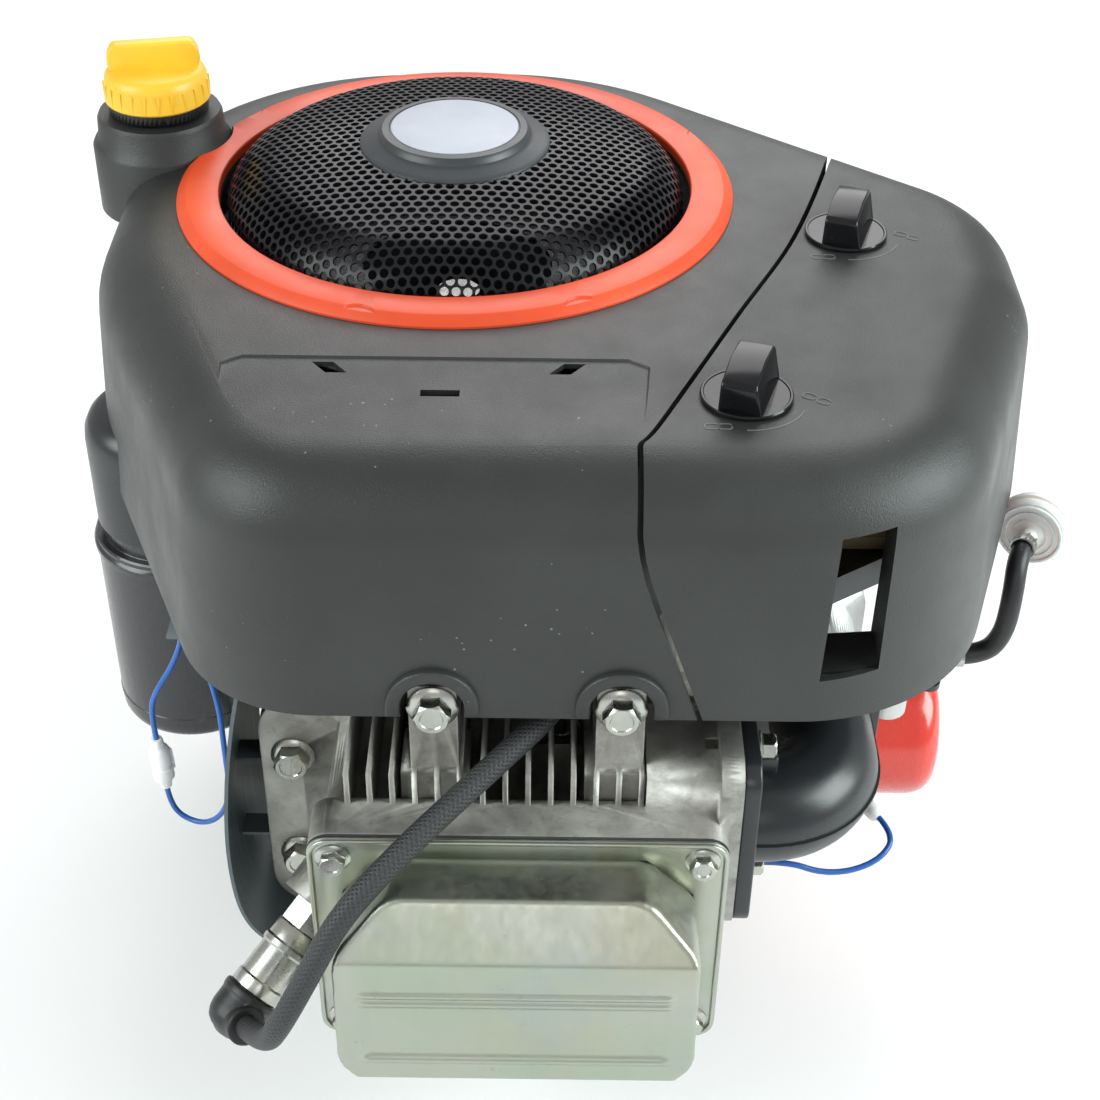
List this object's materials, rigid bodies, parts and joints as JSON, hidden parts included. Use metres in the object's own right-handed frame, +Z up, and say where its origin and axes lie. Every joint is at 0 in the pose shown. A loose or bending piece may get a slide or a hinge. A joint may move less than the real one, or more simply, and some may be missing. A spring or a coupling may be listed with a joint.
{
  "type": "small gasoline engine",
  "caption": "Vertical-shaft air-cooled overhead-valve small gasoline engine with blower housing, rotating screen, side air cleaner, electric starter and spin-on oil filter.",
  "frame": {"origin": "on the crankshaft axis at the mounting face under the sump", "axes": "+Z up along the crankshaft to the flywheel, -Y along the cylinder to the rocker cover, +X toward the carburetor and air cleaner; the output shaft leaves along -Z"},
  "size_m": [0.456, 0.4827, 0.4133],
  "materials": {
    "housing_plastic": "fine-grained satin",
    "cover_plastic": "fine-grained satin",
    "ring_plastic": "gloss",
    "screen_paint": "gloss",
    "cap_plastic": "satin with a blank pale round badge area",
    "knob_plastic": "gloss",
    "yellow_plastic": "satin",
    "steel": "machined",
    "zinc": "zinc plated",
    "tinted_steel": "zinc plated with a faint yellow and green tint",
    "dark_steel": "black oxide",
    "casting": "as cast",
    "iron": "as cast",
    "carb_metal": "die cast",
    "gasket_fibre": "matte",
    "black_paint": "satin",
    "shield_paint": "satin",
    "red_paint": "gloss",
    "black_plastic": "satin",
    "rubber": "matte",
    "braid": "braided sleeve",
    "filter_plastic": "translucent white",
    "blue_wire": "gloss",
    "white_plastic": "satin",
    "filter_paper": "pleated"
  },
  "bodies": {
    "engine": {"sump": "casting", "sump_bolts": "zinc", "cylinder_block": "casting", "cylinder_head": "casting", "head_bolts": "zinc", "rocker_cover": "tinted_steel", "rocker_cover_gasket": "gasket_fibre", "rocker_cover_screws": "zinc", "valve_springs": "dark_steel", "blower_housing": "housing_plastic", "trim_ring": "ring_plastic", "air_cleaner_base": "black_plastic", "air_filter": "filter_paper", "starter_motor": "black_paint", "starter_bolts": "zinc", "starter_drive_cap": "black_plastic", "ignition_coil": "black_plastic", "spark_plug": "steel", "plug_shield": "zinc", "plug_boot": "rubber", "plug_lead": "braid", "intake_manifold": "black_plastic", "manifold_bolts": "zinc", "carburetor": "carb_metal", "carburetor_bowl": "zinc", "fuel_hose": "rubber", "fuel_filter": "filter_plastic", "hose_clamps": "zinc", "oil_filter": "red_paint", "oil_fill_tube": "black_plastic", "cylinder_shield": "shield_paint", "housing_bolts": "zinc", "left_wire": "blue_wire", "left_wire_connector": "white_plastic", "right_wire": "blue_wire", "right_wire_connector": "white_plastic"},
    "crank": {"crankshaft": "steel", "flywheel": "iron", "ring_gear": "steel", "cooling_fan": "black_plastic", "screen": "screen_paint", "screen_cap": "cap_plastic", "flywheel_nut": "zinc"},
    "cam": {"camshaft": "iron"},
    "piston_group": {"piston": "casting", "wrist_pin": "steel"},
    "intake_rocker": {"intake_rocker": "steel"},
    "exhaust_rocker": {"exhaust_rocker": "steel"},
    "intake_valve": {"intake_valve": "steel"},
    "exhaust_valve": {"exhaust_valve": "steel"},
    "intake_push_rod": {"intake_push_rod": "steel"},
    "exhaust_push_rod": {"exhaust_push_rod": "steel"},
    "cover": {"air_cleaner_cover": "cover_plastic"},
    "rear_knob": {"rear_cover_knob": "knob_plastic"},
    "front_knob": {"front_cover_knob": "knob_plastic"},
    "dipstick": {"dipstick": "rubber"},
    "dipstick_cap": {"dipstick_cap": "yellow_plastic"},
    "throttle": {"throttle_lever": "dark_steel"},
    "choke": {"choke_lever": "dark_steel"},
    "pinion": {"starter_pinion": "steel"}
  },
  "joints": [
    {"name": "crankshaft_spin", "type": "hinge", "parent": "engine", "child": "crank", "pos_m": [0, 0, 0.15], "axis": [0, 0, 1], "continuous": true},
    {"name": "camshaft_spin", "type": "hinge", "parent": "engine", "child": "cam", "pos_m": [0.066, -0.01415, 0.03], "axis": [0, 0, 1], "continuous": true},
    {"name": "piston_slide", "type": "slide", "parent": "engine", "child": "piston_group", "axis": [0, 1, 0], "range_m": [0, 0.0575]},
    {"name": "intake_rocker_swing", "type": "hinge", "parent": "engine", "child": "intake_rocker", "pos_m": [0.033, -0.2723, 0.093], "axis": [0, 0, -1], "range_deg": [0, 11.4]},
    {"name": "intake_valve_slide", "type": "slide", "parent": "engine", "child": "intake_valve", "axis": [0, 1, 0], "range_m": [0, 0.0067], "deforming": ["valve_springs"]},
    {"name": "intake_push_rod_slide", "type": "slide", "parent": "engine", "child": "intake_push_rod", "axis": [0, -1, 0], "range_m": [0, 0.0067]},
    {"name": "exhaust_rocker_swing", "type": "hinge", "parent": "engine", "child": "exhaust_rocker", "pos_m": [0.033, -0.2723, 0.053], "axis": [0, 0, -1], "range_deg": [0, 11.4]},
    {"name": "exhaust_valve_slide", "type": "slide", "parent": "engine", "child": "exhaust_valve", "axis": [0, 1, 0], "range_m": [0, 0.0067], "deforming": ["valve_springs"]},
    {"name": "exhaust_push_rod_slide", "type": "slide", "parent": "engine", "child": "exhaust_push_rod", "axis": [0, -1, 0], "range_m": [0, 0.0067]},
    {"name": "air_cleaner_cover_lift", "type": "slide", "parent": "engine", "child": "cover", "axis": [0, 0, 1], "range_m": [0, 0.13]},
    {"name": "rear_knob_turn", "type": "hinge", "parent": "cover", "child": "rear_knob", "pos_m": [0.1717, -0.0396, 0.284], "axis": [0, 0, 1], "range_deg": [0, 90]},
    {"name": "front_knob_turn", "type": "hinge", "parent": "cover", "child": "front_knob", "pos_m": [0.1185, -0.172, 0.284], "axis": [0, 0, 1], "range_deg": [0, 90]},
    {"name": "dipstick_lift", "type": "slide", "parent": "engine", "child": "dipstick", "axis": [0, 0, 1], "range_m": [0, 0.26]},
    {"name": "dipstick_cap_turn", "type": "hinge", "parent": "dipstick", "child": "dipstick_cap", "pos_m": [-0.1405, 0.046, 0.3], "axis": [0, 0, 1], "range_deg": [0, 90]},
    {"name": "throttle_turn", "type": "hinge", "parent": "engine", "child": "throttle", "pos_m": [0.196, -0.146, 0.125], "axis": [0, 0, 1], "range_deg": [-35, 35]},
    {"name": "choke_turn", "type": "hinge", "parent": "engine", "child": "choke", "pos_m": [0.163, -0.112, 0.14], "axis": [0, 0, 1], "range_deg": [-30, 45]},
    {"name": "starter_pinion_slide", "type": "slide", "parent": "engine", "child": "pinion", "axis": [0, 0, 1], "range_m": [0, 0.024]}
  ],
  "couplings": [
    {"joint": "camshaft_spin", "follows": "crankshaft_spin", "ratio": -0.5},
    {"joint": "intake_valve_slide", "follows": "intake_rocker_swing", "m_per_rad": 0.033},
    {"joint": "intake_push_rod_slide", "follows": "intake_rocker_swing", "m_per_rad": 0.033},
    {"joint": "exhaust_valve_slide", "follows": "exhaust_rocker_swing", "m_per_rad": 0.033},
    {"joint": "exhaust_push_rod_slide", "follows": "exhaust_rocker_swing", "m_per_rad": 0.033}
  ]
}
